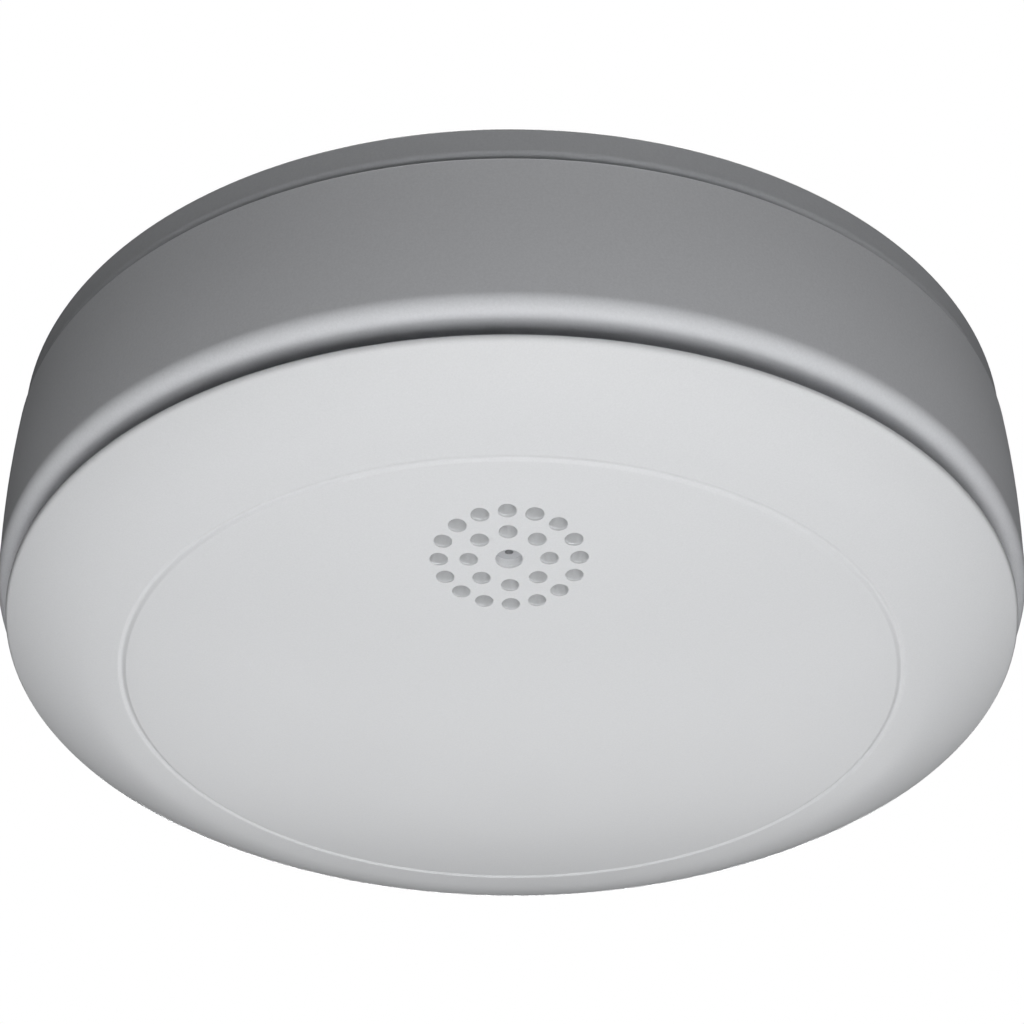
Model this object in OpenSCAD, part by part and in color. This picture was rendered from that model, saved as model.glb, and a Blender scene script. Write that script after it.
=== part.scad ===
// Ceiling smoke detector: twist-on mounting plate, round housing and a floating domed front cover.
// The origin is the centre of the ceiling face. Depths below the ceiling are positive in the
// modules and hang() turns them into negative Z, so the detector hangs down from z = 0.

/* [Body] */
// Largest diameter of the housing's side wall
body_d = 120.6; // [119.6:0.2:126]
// Height from the ceiling to the middle of the front cover
body_h = 36; // [35.5:0.5:38]
// Wall thickness of the housing
wall = 2; // [1.6:0.2:2.4]
// Radius of the housing's front shoulder
shoulder_r = 2; // [1.4:0.1:2.2]

/* [Front cover] */
// Diameter of the front cover
cover_d = 117.4; // [115:0.2:117.8]
// Wall thickness of the front cover
cover_wall = 2; // [1.6:0.2:2.2]
// Radius of curvature of the domed face
dome_r = 287; // [270:1:320]
// Radius of the curve that rolls the face over to its edge
rim_roll_r = 27.2; // [25:0.2:30]
// Radius at which the roll begins
rim_roll_start = 48.7; // [48:0.1:50]
// Open gap between the housing's shoulder and the cover's edge
smoke_gap = 2.6; // [2:0.1:2.8]
// Radius of the moulded ring on the face
ring_r = 45; // [43:0.5:46]
// How far the cover travels when it is pressed
press_travel = 0.6; // [0.3:0.1:0.6]

/* [Sounder grille] */
// Distance of the grille from the middle of the cover
grille_y = 30; // [29:0.5:30.5]
// Sideways offset of the grille
grille_x = -0.3; // [-0.4:0.1:0.4]
// Radius of the inner ring of holes
grille_inner_r = 4.3; // [4:0.1:4.6]
// Radius of the outer ring of holes
grille_outer_r = 7.5; // [7.2:0.1:8]
// Diameter of the small holes
grille_hole_d = 2.06; // [1.6:0.02:2.2]
// Diameter of the middle hole, which shows the light
light_hole_d = 3; // [2.8:0.1:3.2]

/* [Mounting] */
// Height of the mounting plate's rim
plate_h = 4; // [3.9:0.1:4.6]
// Distance between the two slotted screw holes
slot_spacing = 70; // [60:1:76]
// Length of each slot
slot_len = 10; // [7:0.5:12]
// Width of the slots and diameter of the round holes
screw_hole_d = 4.5; // [3.5:0.1:5]
// Distance between the two round screw holes
round_spacing = 60; // [50:1:70]
// Turn that frees the detector from its plate, in degrees
twist = 15; // [14:1:18]

/* [Hidden] */
$fn = 96;
eps = 0.05;

body_r = body_d / 2;
cover_r = cover_d / 2;
seam = 0.7;
bulge = 0.3;
edge_land = 0.45;
plate_r = body_r - 0.7;
plate_floor = 1.8;
plate_skirt = 2;
plate_edge_r = 1;
rib_r = 22;
rib_t = 1.2;
rib_h = 1.2;

// Depths, all below the ceiling
housing_top = plate_h + seam;
edge_depth = face_depth(cover_r) - edge_land;
ledge_depth = edge_depth - smoke_gap;
floor_depth = 20.5;
floor_t = 1.8;
floor_top = floor_depth - floor_t;
back_top = housing_top + 0.3;
back_t = 1.8;
back_bottom = back_top + back_t;
board_top = 10;
board_t = 1.6;
board_face = board_top + board_t;
board_r = 46.5;
cap_depth = body_h - 6.8;

// Lip between the shoulder and the front floor
lip_r = 54.5;
floor_r = 50.4;

// Bayonet
hook_count = 4;
hook_r = 51;
hook_stem = 1.6;
hook_head = 4.2;
hook_half = 4;
hook_gap = 0.3;
hook_head_t = 1.4;

// Screws
case_screw_r = 50.5;
case_screw_count = 4;
pad_h = 1;
boss_top = back_bottom + pad_h;
boss_r = 3.4;
counterbore_r = 2.8;
counterbore_h = 1.6;
clearance_r = 1.25;
pilot_r = 1;
shank_r = 0.95;
screw_head_h = 1.3;
case_head_r = 2.5;
case_shank = 8;
board_head_r = 2.2;
board_shank = 6.5;
board_posts = [[40, 0], [-31.4, 26.4], [-31.4, -26.4]];
post_r = 2.6;

// Battery
label_size = [40, 24, 0.15];
cell_r = 8.5;
cell_len = 33;
cell_x = -38;
cell_depth = 16.1;
nub_len = 0.8;
tub_gap = 0.4;
tub_wall = 1.5;
tub_half_y = 18;

// Parts on the board, as x, y of their middles
chip_at = [29, -12];
chip_size = 9;
smd_at = [20, -29];
smd_pitch = [3.8, 3.6];
smd_size = [2, 1.2, 0.7];
can_at = [[25, 8], [25, 15]];
can_r = 2.5;
can_h = 6;
coil_at = [33, 12];
coil_r = 4;
coil_h = 4.8;

// Optical chamber
chamber_y = 26;
chamber_r = 17.5;
chamber_hole_r = 18.6;
vane_count = 28;
chamber_t = 1.4;
vane = [3.6, 0.6];
vane_start_r = 13.4;
vane_lean = 38;
optic_r = 2.5;
optic_len = 6;
optic_depth = 17;
optic_block = 7.2;

// Horn
horn_r = 16;
horn_hole_r = 16.8;
horn_split = 22;
horn_top = body_h - 6.9;
collar_top = body_h - 5.9;
piezo_depth = 20;
piezo_r = 13.5;
disc_t = 0.3;
ceramic_r = 9;
ceramic_t = 0.2;
collar_r = 10.6;
collar_t = 1.2;

// Test switch and light
switch_y = -2.5;
switch_h = 3.5;
plunger_r = 1.7;
plunger_tip = 17.5;
plunger_foot = 14;
led_y = -9.5;
bar_top = body_h - 5.3;
bar_t = 1.3;
bar_w = 2.2;
bar_gap = 0.5;
pipe_foot_r = 1.2;
pipe_foot_depth = 15.4;
pipe_recess = 0.9;

// Cover fixings
hook_angles = [35, 145, 215, 325];
snap_r = 45.9;
snap_t = 1.8;
snap_w = 6.8;
snap_barb = 1.2;
snap_tip = 16.9;
snap_gap = 0.4;
pin_r = 1.5;
pin_len = 2;
seat_r = 3.2;
seat_pin = 5;
post_tip_r = 2;
sunk = 1;
spring_pos = [[24, 38], [-24, 38], [24, -38], [-24, -38]];
spring_r = 2.3;
spring_wire_r = 0.3;
spring_turns = 5;
spring_top = floor_depth + spring_wire_r + eps;
spring_seat = body_h - 6.7;
spring_foot = spring_seat - spring_wire_r - eps;

// Distance that the cover's outer face has dropped from its middle at radius r
function dome_drop(r) = dome_r - sqrt(dome_r * dome_r - r * r);
function roll_start_angle() = asin(rim_roll_start / dome_r);
function roll_angle(r) = asin(sin(roll_start_angle()) + (r - rim_roll_start) / rim_roll_r);
function rim_drop(r) = dome_drop(rim_roll_start)
    + rim_roll_r * (cos(roll_start_angle()) - cos(roll_angle(r)));
function face_drop(r) = r < rim_roll_start ? dome_drop(r) : rim_drop(r);
function face_depth(r) = body_h - face_drop(r);
function inner_depth(r) = face_depth(r) - cover_wall;
function arc(cx, cy, r, a0, a1, n = 8) =
    [for (i = [0:n]) [cx + r * cos(a0 + (a1 - a0) * i / n), cy + r * sin(a0 + (a1 - a0) * i / n)]];

module hang() {
    mirror([0, 0, 1]) children();
}

module tube(outer, inner, h) {
    difference() {
        cylinder(r = outer, h = h);
        translate([0, 0, -1]) cylinder(r = inner, h = h + 2);
    }
}

module arc_slot(r0, r1, a0, a1, h) {
    rotate([0, 0, a0]) rotate_extrude(angle = a1 - a0) translate([r0, 0]) square([r1 - r0, h]);
}

module around(count) {
    for (i = [0:count - 1]) rotate([0, 0, i * 360 / count]) children();
}

module at_case_screws() {
    around(case_screw_count) rotate([0, 0, 45]) translate([case_screw_r, 0, 0]) children();
}

module at_board_posts() {
    for (p = board_posts) translate([p[0], p[1], 0]) children();
}

// Root: screwed to the ceiling, with four hooks for the detector
module mounting_plate() {
    color("gainsboro") hang() difference() {
        union() {
            rotate_extrude() polygon(concat(
                [[0, 0], [plate_r, 0]],
                arc(plate_r - plate_edge_r, plate_h - plate_edge_r, plate_edge_r, 0, 90, 6),
                [[plate_r - plate_skirt, plate_h], [plate_r - plate_skirt, plate_floor], [0, plate_floor]]));
            translate([0, 0, plate_floor - eps]) tube(rib_r, rib_r - rib_t, rib_h);
            around(hook_count) {
                arc_hook(hook_r, hook_r + hook_stem, plate_floor - eps, back_bottom + hook_gap + hook_head_t);
                arc_hook(hook_r, hook_r + hook_head, back_bottom + hook_gap,
                    back_bottom + hook_gap + hook_head_t);
            }
        }
        for (s = [-1, 1]) {
            translate([s * slot_spacing / 2, 0, -1]) screw_slot();
            translate([0, s * round_spacing / 2, -1]) cylinder(d = screw_hole_d, h = plate_floor + 2);
        }
    }
}

module arc_hook(r0, r1, d0, d1) {
    translate([0, 0, d0]) arc_slot(r0, r1, -hook_half, hook_half, d1 - d0);
}

module screw_slot() {
    run = slot_len - screw_hole_d;
    for (s = [-1, 1]) translate([s * run / 2, 0, 0]) cylinder(d = screw_hole_d, h = plate_floor + 2);
    translate([-run / 2, -screw_hole_d / 2, 0]) cube([run, screw_hole_d, plate_floor + 2]);
}

// Closes the housing; its curved slots take the plate's hooks
module back_cover() {
    slot_gap = 0.35;
    end_gap = 1;
    last = twist + hook_half + end_gap;
    color("whitesmoke") hang() difference() {
        union() {
            translate([0, 0, back_top]) cylinder(r = body_r - wall - 0.5, h = back_t);
            at_case_screws() translate([0, 0, back_top]) cylinder(r = boss_r + 0.4, h = back_t + pad_h);
        }
        around(hook_count) {
            translate([0, 0, back_top - 1]) arc_slot(hook_r - slot_gap, hook_r + hook_stem + slot_gap,
                -hook_half - end_gap, last, back_t + 2);
            translate([0, 0, back_top - 2]) arc_slot(hook_r + eps, hook_r + hook_head + slot_gap,
                twist - hook_half - end_gap, last - eps, back_t + 4);
        }
        at_case_screws() {
            translate([0, 0, back_top - 1]) cylinder(r = counterbore_r, h = counterbore_h + 1);
            translate([0, 0, back_top]) cylinder(r = clearance_r, h = back_t + pad_h + 1);
        }
    }
}

module case_screws() {
    color("silver") hang() at_case_screws() translate([0, 0, back_top + counterbore_h])
        pan_screw(case_head_r, case_shank);
}

module pan_screw(head_r, shank_len) {
    cross = [2.6, 0.5, 0.7];
    difference() {
        union() {
            translate([0, 0, -screw_head_h]) cylinder(r = head_r, h = screw_head_h);
            cylinder(r = shank_r, h = shank_len);
        }
        for (a = [0, 90]) rotate([0, 0, a]) translate([0, 0, -screw_head_h - 1])
            translate([-cross[0] / 2, -cross[1] / 2, 0]) cube([cross[0], cross[1], cross[2] + 1]);
    }
}

module rating_label() {
    color("white") hang()
        translate([-label_size[0] / 2, -label_size[1] / 2, back_top - label_size[2]]) cube(label_size);
}

// Side wall, shoulder, ledge and the front floor that carries everything
module housing_shell() {
    root = 0.5;
    case_pilot = 7.5;
    board_pilot = 5.5;
    switch_hole_r = 3.2;
    light_hole_r = 1.9;
    snap_slot_w = 8;
    color("lightgray") hang() difference() {
        union() {
            rotate_extrude() housing_profile();
            battery_tub_outside();
            at_case_screws() translate([0, 0, boss_top])
                cylinder(r = boss_r, h = floor_top - boss_top + root);
            at_board_posts() translate([0, 0, board_face])
                cylinder(r = post_r, h = floor_top - board_face + root);
            for (p = spring_pos) translate([p[0], p[1], floor_depth - eps]) cylinder(r = pin_r, h = pin_len);
        }
        at_case_screws() translate([0, 0, boss_top - 1]) cylinder(r = pilot_r, h = case_pilot + 1);
        at_board_posts() translate([0, 0, board_face - 1]) cylinder(r = pilot_r, h = board_pilot + 1);
        translate([cell_x - cell_r - tub_gap, -tub_half_y, board_face])
            cube([2 * (cell_r + tub_gap), 2 * tub_half_y, tub_inside_depth() - board_face]);
        translate([0, chamber_y, floor_top - 1]) cylinder(r = chamber_hole_r, h = floor_t + 2);
        translate([grille_x, -grille_y, floor_top - 1]) cylinder(r = horn_hole_r, h = floor_t + 2);
        translate([0, switch_y, floor_top - 1]) cylinder(r = switch_hole_r, h = floor_t + 2);
        translate([0, led_y, floor_top - 1]) cylinder(r = light_hole_r, h = floor_t + 2);
        for (a = hook_angles) rotate([0, 0, a])
            translate([snap_r - snap_gap, -snap_slot_w / 2, floor_top - 1])
                cube([snap_t + 2 * snap_gap, snap_slot_w, floor_t + 2]);
    }
}

// The side wall bulges a little between the plate and the shoulder
module housing_profile() {
    inner_r = body_r - wall;
    shoulder_top = ledge_depth - shoulder_r;
    lip_fillet = 1.2;
    inner_fillet = 0.8;
    side_n = 6;
    polygon(concat(
        [for (i = [0:side_n]) let (t = i / side_n)
            [body_r - bulge * pow(2 * t - 1, 2), housing_top + t * (shoulder_top - housing_top)]],
        arc(body_r - bulge - shoulder_r, shoulder_top, shoulder_r, 10, 90),
        arc(lip_r, ledge_depth - lip_fillet, lip_fillet, 90, 150, 5),
        [[floor_r, floor_depth], [0, floor_depth], [0, floor_top], [floor_r + lip_fillet, floor_top]],
        [[lip_r + lip_fillet / 2, ledge_depth - wall]],
        arc(inner_r - inner_fillet, ledge_depth - wall - inner_fillet, inner_fillet, 90, 0, 4),
        [[inner_r - 0.2, housing_top]]));
}

function tub_inside_depth() = cell_depth + cell_r + 0.1;

module battery_tub_outside() {
    half_x = cell_r + tub_gap + tub_wall;
    half_y = tub_half_y + tub_wall;
    tub_bottom = tub_inside_depth() + 1.3;
    translate([cell_x - half_x, -half_y, floor_top]) cube([2 * half_x, 2 * half_y, tub_bottom - floor_top]);
}

module circuit_board() {
    notch_half_y = tub_half_y + 0.1;
    notch_x = cell_x + cell_r + 0.6;
    color("darkgreen") hang() difference() {
        translate([0, 0, board_top]) cylinder(r = board_r, h = board_t);
        translate([notch_x - board_r, -notch_half_y, board_top - 1])
            cube([board_r, 2 * notch_half_y, board_t + 2]);
        at_board_posts() translate([0, 0, board_top - 1]) cylinder(r = clearance_r - eps, h = board_t + 2);
    }
}

module board_screws() {
    color("silver") hang() at_board_posts() translate([0, 0, board_top]) pan_screw(board_head_r, board_shank);
}

module on_board(x, y) {
    translate([x, y, board_face]) children();
}

module microcontroller() {
    pin = [1.4, 0.4, 0.5];
    pin_pitch = 1;
    standoff = 0.2;
    color("dimgray") hang() on_board(chip_at[0], chip_at[1]) {
        translate([-chip_size / 2, -chip_size / 2, standoff]) cube([chip_size, chip_size, 1.4]);
        around(4) for (i = [-3.5:3.5])
            translate([chip_size / 2 - standoff, i * pin_pitch - pin[1] / 2, 0]) cube(pin);
    }
}

module smd_parts() {
    color("tan") hang() for (i = [0:4]) for (j = [0:2])
        on_board(smd_at[0] + smd_pitch[0] * i, smd_at[1] + smd_pitch[1] * j)
            translate([-smd_size[0] / 2, -smd_size[1] / 2, 0]) cube(smd_size);
}

module capacitors() {
    base_h = 0.5;
    base_rim = 0.4;
    color("black") hang() for (p = can_at) on_board(p[0], p[1]) {
        cylinder(r = can_r + base_rim, h = base_h);
        translate([0, 0, base_h - eps]) cylinder(r = can_r, h = can_h - base_h + eps);
    }
}

module boost_coil() {
    flange_t = 0.8;
    winding_r = 2.9;
    color("dimgray") hang() on_board(coil_at[0], coil_at[1]) {
        cylinder(r = coil_r, h = flange_t);
        translate([0, 0, flange_t - eps]) cylinder(r = winding_r, h = coil_h - 2 * flange_t + 2 * eps);
        translate([0, 0, coil_h - flange_t]) cylinder(r = coil_r, h = flange_t);
    }
}

module status_led() {
    base = [3.2, 2.4, 0.9];
    lens_r = 0.9;
    lens_h = 0.7;
    color("red") hang() on_board(0, led_y) {
        translate([-base[0] / 2, -base[1] / 2, 0]) cube(base);
        translate([0, 0, base[2] - eps]) cylinder(r = lens_r, h = lens_h);
    }
}

module test_switch() {
    side = 6;
    running_gap = 0.06;
    foot_gap = 0.2;
    color("gray") hang() difference() {
        on_board(-side / 2, switch_y - side / 2) cube([side, side, switch_h]);
        translate([0, switch_y, plunger_foot - press_travel - foot_gap])
            cylinder(r = plunger_r + running_gap, h = switch_h);
    }
}

module switch_plunger() {
    color("black") hang() translate([0, switch_y, plunger_foot])
        cylinder(r = plunger_r, h = plunger_tip - plunger_foot);
}

module battery_cell() {
    nub_r = 3.2;
    color("steelblue") hang() translate([cell_x, 0, cell_depth]) rotate([90, 0, 0]) {
        translate([0, 0, -cell_len / 2]) cylinder(r = cell_r, h = cell_len);
        translate([0, 0, cell_len / 2 - eps]) cylinder(r = nub_r, h = nub_len + eps);
    }
}

// Welded strips from the cell's ends to the board
module battery_tabs() {
    foot = 4.6;
    color("silver") hang() {
        battery_tab(cell_len / 2, foot);
        mirror([0, 1, 0]) battery_tab(cell_len / 2 + nub_len, foot - nub_len);
    }
}

module battery_tab(y, foot) {
    strip_w = 6;
    strip_t = 0.25;
    weld_reach = 3;
    translate([cell_x - strip_w / 2, y, board_top - strip_t]) {
        cube([strip_w, strip_t, cell_depth + weld_reach - board_top + strip_t]);
        cube([strip_w, foot, strip_t]);
    }
}

module at_chamber() {
    translate([0, chamber_y, 0]) children();
}

// Two barrels for the emitter and the photodiode, set 120 degrees apart
module at_optic(side) {
    translate([0, 0, optic_depth]) rotate([0, 0, 90 + side * 60]) translate([5, 0, 0]) rotate([0, 90, 0])
        children();
}

// Black tray with a ring of light-trap vanes
module chamber_base() {
    vane_h = cap_depth - 2 * chamber_t - board_face;
    bore_gap = 0.05;
    color("black") hang() at_chamber() difference() {
        union() {
            translate([0, 0, board_face]) cylinder(r = chamber_r, h = chamber_t);
            around(vane_count) translate([vane_start_r, -vane[1] / 2, board_face + chamber_t - eps])
                rotate([0, 0, vane_lean]) cube([vane[0], vane[1], vane_h]);
            for (s = [-1, 1]) at_optic(s)
                translate([board_face + 1 - optic_depth, -optic_block / 2, 0.4])
                    cube([optic_block + 1, optic_block, optic_len + 0.4]);
        }
        for (s = [-1, 1]) at_optic(s)
            translate([0, 0, -1]) cylinder(r = optic_r + bore_gap, h = optic_len + 4);
    }
}

module optic() {
    flange_at = 1.6;
    translate([0, 0, flange_at]) cylinder(r = optic_r, h = optic_len - flange_at);
    intersection() {
        translate([0, 0, optic_r]) sphere(r = optic_r);
        cylinder(r = optic_r, h = optic_r);
    }
}

module ir_emitter() {
    color("lightblue") hang() at_chamber() at_optic(-1) optic();
}

module photodiode() {
    color("darkslategray") hang() at_chamber() at_optic(1) optic();
}

module chamber_cap() {
    baffle_r = 12.6;
    baffle_t = 0.8;
    baffle_h = 2;
    color("black") hang() at_chamber() {
        translate([0, 0, cap_depth - chamber_t]) cylinder(r = chamber_r, h = chamber_t);
        translate([0, 0, cap_depth - chamber_t - baffle_h + eps])
            tube(baffle_r, baffle_r - baffle_t, baffle_h);
    }
}

// Woven steel band round the vanes, between the tray and the cap
module insect_screen() {
    screen_r = chamber_r - 0.1;
    screen_t = 0.25;
    top = board_face + chamber_t;
    color("silver") hang() at_chamber() translate([0, 0, top])
        tube(screen_r, screen_r - screen_t, cap_depth - chamber_t - top);
}

module at_horn() {
    translate([grille_x, -grille_y, 0]) children();
}

module horn_cup() {
    floor_h = 1.2;
    shelf_r = 12.6;
    disc_gap = 0.4;
    color("dimgray") hang() at_horn() rotate_extrude() polygon([
        [0, board_face], [horn_r, board_face], [horn_r, horn_split], [piezo_r + disc_gap, horn_split],
        [piezo_r + disc_gap, piezo_depth], [shelf_r, piezo_depth], [shelf_r, board_face + floor_h],
        [0, board_face + floor_h]]);
}

module piezo_disc() {
    color("goldenrod") hang() at_horn() translate([0, 0, piezo_depth]) cylinder(r = piezo_r, h = disc_t);
}

module piezo_ceramic() {
    color("ivory") hang() at_horn() translate([0, 0, piezo_depth + disc_t])
        cylinder(r = ceramic_r, h = ceramic_t);
}

// Lid that clamps the disc and narrows to the horn's mouth
module horn_lid() {
    mouth_r = 8.4;
    lid_t = 1.2;
    cone_w = 3;
    clamp_depth = piezo_depth + disc_t + 0.1;
    inner_r = horn_r - cone_w - 0.6;
    color("dimgray") hang() at_horn() rotate_extrude() polygon([
        [piezo_r, clamp_depth], [piezo_r, horn_split + eps], [horn_r, horn_split + eps],
        [horn_r, horn_top - cone_w], [horn_r - cone_w, horn_top], [mouth_r, horn_top],
        [mouth_r, horn_top - lid_t], [inner_r, horn_top - lid_t], [inner_r, clamp_depth]]);
}

module horn_gasket() {
    gasket_w = 2.1;
    gasket_t = 0.9;
    fit_gap = 0.1;
    color("darkslategray") hang() at_horn() translate([0, 0, floor_top - gasket_t])
        tube(horn_r + fit_gap + gasket_w, horn_r + fit_gap, gasket_t);
}

// Domed disc with a rolled edge, a moulded ring and the sounder grille; pressing it anywhere runs the test
module front_cover() {
    ring_groove_r = 0.35;
    color("white") hang() difference() {
        union() {
            rotate_extrude() cover_profile();
            intersection() {
                cover_fixings();
                rotate_extrude() polygon(concat(
                    [[0, 0], [cover_r - 2, 0]],
                    [for (r = [cover_r - 2:-5:5]) [r, inner_depth(r) + sunk]],
                    [[0, inner_depth(0) + sunk]]));
            }
        }
        rotate_extrude() translate([ring_r, face_depth(ring_r)]) circle(r = ring_groove_r, $fn = 4);
        at_horn() grille_holes();
    }
}

// Horn collar, switch post, spring seats and snap hooks, all longer than they need be
module cover_fixings() {
    post_gap = 0.1;
    difference() {
        at_horn() translate([0, 0, collar_top]) tube(collar_r, collar_r - collar_t, body_h - collar_top);
        translate([-bar_w / 2 - bar_gap, -grille_y, collar_top - 1])
            cube([bar_w + 2 * bar_gap, collar_r + 2, bar_top + bar_t + 1.1 - collar_top]);
    }
    translate([0, switch_y, plunger_tip + post_gap])
        cylinder(r = post_tip_r, h = body_h - plunger_tip - post_gap);
    for (p = spring_pos) translate([p[0], p[1], 0]) {
        translate([0, 0, spring_seat]) cylinder(r = seat_r, h = body_h - spring_seat);
        translate([0, 0, spring_seat - seat_pin]) cylinder(r = pin_r, h = seat_pin + 1);
    }
    for (a = hook_angles) rotate([0, 0, a]) snap_hook();
}

module cover_profile() {
    dome_n = 10;
    roll_n = 9;
    outer = concat(
        [for (i = [0:dome_n]) let (r = rim_roll_start * i / dome_n) [r, face_depth(r)]],
        [for (i = [1:roll_n]) let (r = rim_roll_start + (cover_r - edge_land - rim_roll_start) * i / roll_n)
            [r, face_depth(r)]],
        [[cover_r, face_depth(cover_r)], [cover_r, edge_depth]]);
    inner_edge = cover_r - 1.1;
    inner_run = inner_edge - 0.6 - rim_roll_start;
    inner = concat(
        [[inner_edge, edge_depth]],
        [for (i = [roll_n:-1:1]) let (r = rim_roll_start + inner_run * i / roll_n) [r, inner_depth(r)]],
        [for (i = [dome_n:-1:0]) let (r = rim_roll_start * i / dome_n) [r, inner_depth(r)]]);
    polygon(concat(outer, inner));
}

module snap_hook() {
    barb_catch = floor_top - 0.1;
    translate([snap_r, -snap_w / 2, snap_tip]) {
        cube([snap_t, snap_w, body_h - snap_tip]);
        cube([snap_t + snap_barb, snap_w, barb_catch - snap_tip]);
    }
}

module grille_holes() {
    drill_from = 29;
    drill = 7;
    turn = -1.5;
    translate([0, 0, drill_from]) rotate([0, 0, turn]) {
        cylinder(d = light_hole_d, h = drill);
        around(8) translate([grille_inner_r, 0, 0]) cylinder(d = grille_hole_d, h = drill);
        around(16) translate([grille_outer_r, 0, 0]) cylinder(d = grille_hole_d, h = drill);
    }
}

// Clear pipe that carries the status light over the horn to the middle hole of the grille
module light_pipe() {
    tip_gap = 0.08;
    color("lightcyan") hang() {
        at_horn() translate([0, 0, bar_top])
            cylinder(r = light_hole_d / 2 - tip_gap, h = face_depth(grille_y) - pipe_recess - bar_top);
        translate([-bar_w / 2, -grille_y, bar_top]) cube([bar_w, grille_y + led_y, bar_t]);
        translate([0, led_y, pipe_foot_depth])
            cylinder(r = pipe_foot_r, h = bar_top + bar_t - pipe_foot_depth);
    }
}

// Return springs that hold the cover out against its snap hooks
module cover_springs() {
    color("silver") hang() for (p = spring_pos) translate([p[0], p[1], 0]) coil_spring();
}

module coil_spring() {
    sides = 6;
    steps = spring_turns * 14;
    rise = spring_foot - spring_top;
    function centre(i) = let (a = 360 * spring_turns * i / steps)
        [spring_r * cos(a), spring_r * sin(a), spring_top + rise * i / steps];
    function section(i) = let (a = 360 * spring_turns * i / steps, c = centre(i))
        [for (k = [0:sides - 1]) let (b = 360 * k / sides)
            c + spring_wire_r * [cos(b) * cos(a), cos(b) * sin(a), sin(b)]];
    points = [for (i = [0:steps]) each section(i)];
    walls = [for (i = [0:steps - 1]) for (k = [0:sides - 1])
        let (n = (k + 1) % sides, b = i * sides, c = b + sides)
            each [[b + k, b + n, c + n], [b + k, c + n, c + k]]];
    first = [for (k = [sides - 1:-1:0]) k];
    last = [for (k = [0:sides - 1]) steps * sides + k];
    polyhedron(points, concat(walls, [first, last]));
}

mounting_plate();
back_cover();
case_screws();
rating_label();
housing_shell();
circuit_board();
board_screws();
microcontroller();
smd_parts();
capacitors();
boost_coil();
status_led();
test_switch();
switch_plunger();
battery_cell();
battery_tabs();
chamber_base();
chamber_cap();
insect_screen();
ir_emitter();
photodiode();
horn_cup();
horn_lid();
horn_gasket();
piezo_disc();
piezo_ceramic();
front_cover();
light_pipe();
cover_springs();
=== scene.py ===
import math

import bmesh
import bpy
from mathutils import Matrix, Vector


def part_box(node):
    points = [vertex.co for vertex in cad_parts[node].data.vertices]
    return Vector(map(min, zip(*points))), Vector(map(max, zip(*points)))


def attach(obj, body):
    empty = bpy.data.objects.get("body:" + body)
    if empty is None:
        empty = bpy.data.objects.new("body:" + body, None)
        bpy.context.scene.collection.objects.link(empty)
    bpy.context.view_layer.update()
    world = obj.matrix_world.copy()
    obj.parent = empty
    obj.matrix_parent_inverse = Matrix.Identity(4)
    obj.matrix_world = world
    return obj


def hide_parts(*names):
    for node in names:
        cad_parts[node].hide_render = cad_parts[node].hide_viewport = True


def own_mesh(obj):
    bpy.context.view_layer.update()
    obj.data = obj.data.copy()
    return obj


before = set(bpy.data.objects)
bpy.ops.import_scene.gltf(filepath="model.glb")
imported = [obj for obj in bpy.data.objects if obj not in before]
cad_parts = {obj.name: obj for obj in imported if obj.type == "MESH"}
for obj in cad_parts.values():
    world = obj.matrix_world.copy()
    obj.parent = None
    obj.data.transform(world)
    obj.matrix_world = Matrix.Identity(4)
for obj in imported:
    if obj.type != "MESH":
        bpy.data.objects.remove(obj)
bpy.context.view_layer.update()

mm = 0.001
fullTurn = 2 * math.pi

# Lengths below are millimetres and depths are measured down from the ceiling;
# place() turns them into metres in the frame, where the detector hangs below z = 0.


def place(x, y, depth):
    return Vector((x, y, -depth)) * mm


def nodeSpan(node):
    # highest radius, shallowest depth and deepest depth of a CAD node
    low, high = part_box(node)
    return high.x / mm, -high.z / mm, -low.z / mm


# shaping

def arcPath(r, depth, radius, fromDeg, toDeg, steps):
    angles = [math.radians(fromDeg + (toDeg - fromDeg) * i / steps) for i in range(steps + 1)]
    return [(r + radius * math.cos(a), depth + radius * math.sin(a)) for a in angles]


def roundedPath(corners, steps=4):
    # a closed outline whose corners are (r, depth, fillet)
    path = []
    for i, (r, depth, fillet) in enumerate(corners):
        here = Vector((r, depth))
        toLast = Vector(corners[i - 1][:2]) - here
        toNext = Vector(corners[(i + 1) % len(corners)][:2]) - here
        half = toLast.angle(toNext) / 2
        if fillet == 0 or half > math.radians(89):
            path.append((r, depth))
            continue
        room = [side.length * (0.48 if corners[k][2] else 0.98)
                for side, k in ((toLast, i - 1), (toNext, (i + 1) % len(corners)))]
        back = min(fillet / math.tan(half), *room)
        inward = (toLast.normalized() + toNext.normalized()).normalized()
        centre = here + inward * back / math.cos(half)
        first = here + toLast.normalized() * back - centre
        last = here + toNext.normalized() * back - centre
        path += [tuple(centre + first.slerp(last, k / steps).normalized() * first.length)
                 for k in range(steps + 1)]
    return path


def spun(path, steps=64, centre=(0, 0)):
    # turns a closed outline, or one that starts and ends on the axis, into a closed solid
    bm = bmesh.new()
    verts = [bm.verts.new(place(r, 0, depth)) for r, depth in path]
    for a, b in zip(verts, verts[1:]):
        bm.edges.new((a, b))
    if path[0][0] > 0 or path[-1][0] > 0:
        bm.edges.new((verts[-1], verts[0]))
    bmesh.ops.spin(bm, geom=bm.verts[:] + bm.edges[:], cent=(0, 0, 0), dvec=(0, 0, 0),
                   axis=(0, 0, 1), angle=fullTurn, steps=steps, use_merge=True)
    bmesh.ops.remove_doubles(bm, verts=bm.verts[:], dist=1e-7)
    bmesh.ops.recalc_face_normals(bm, faces=bm.faces[:])
    bmesh.ops.translate(bm, verts=bm.verts[:], vec=place(centre[0], centre[1], 0))
    return bm


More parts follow.
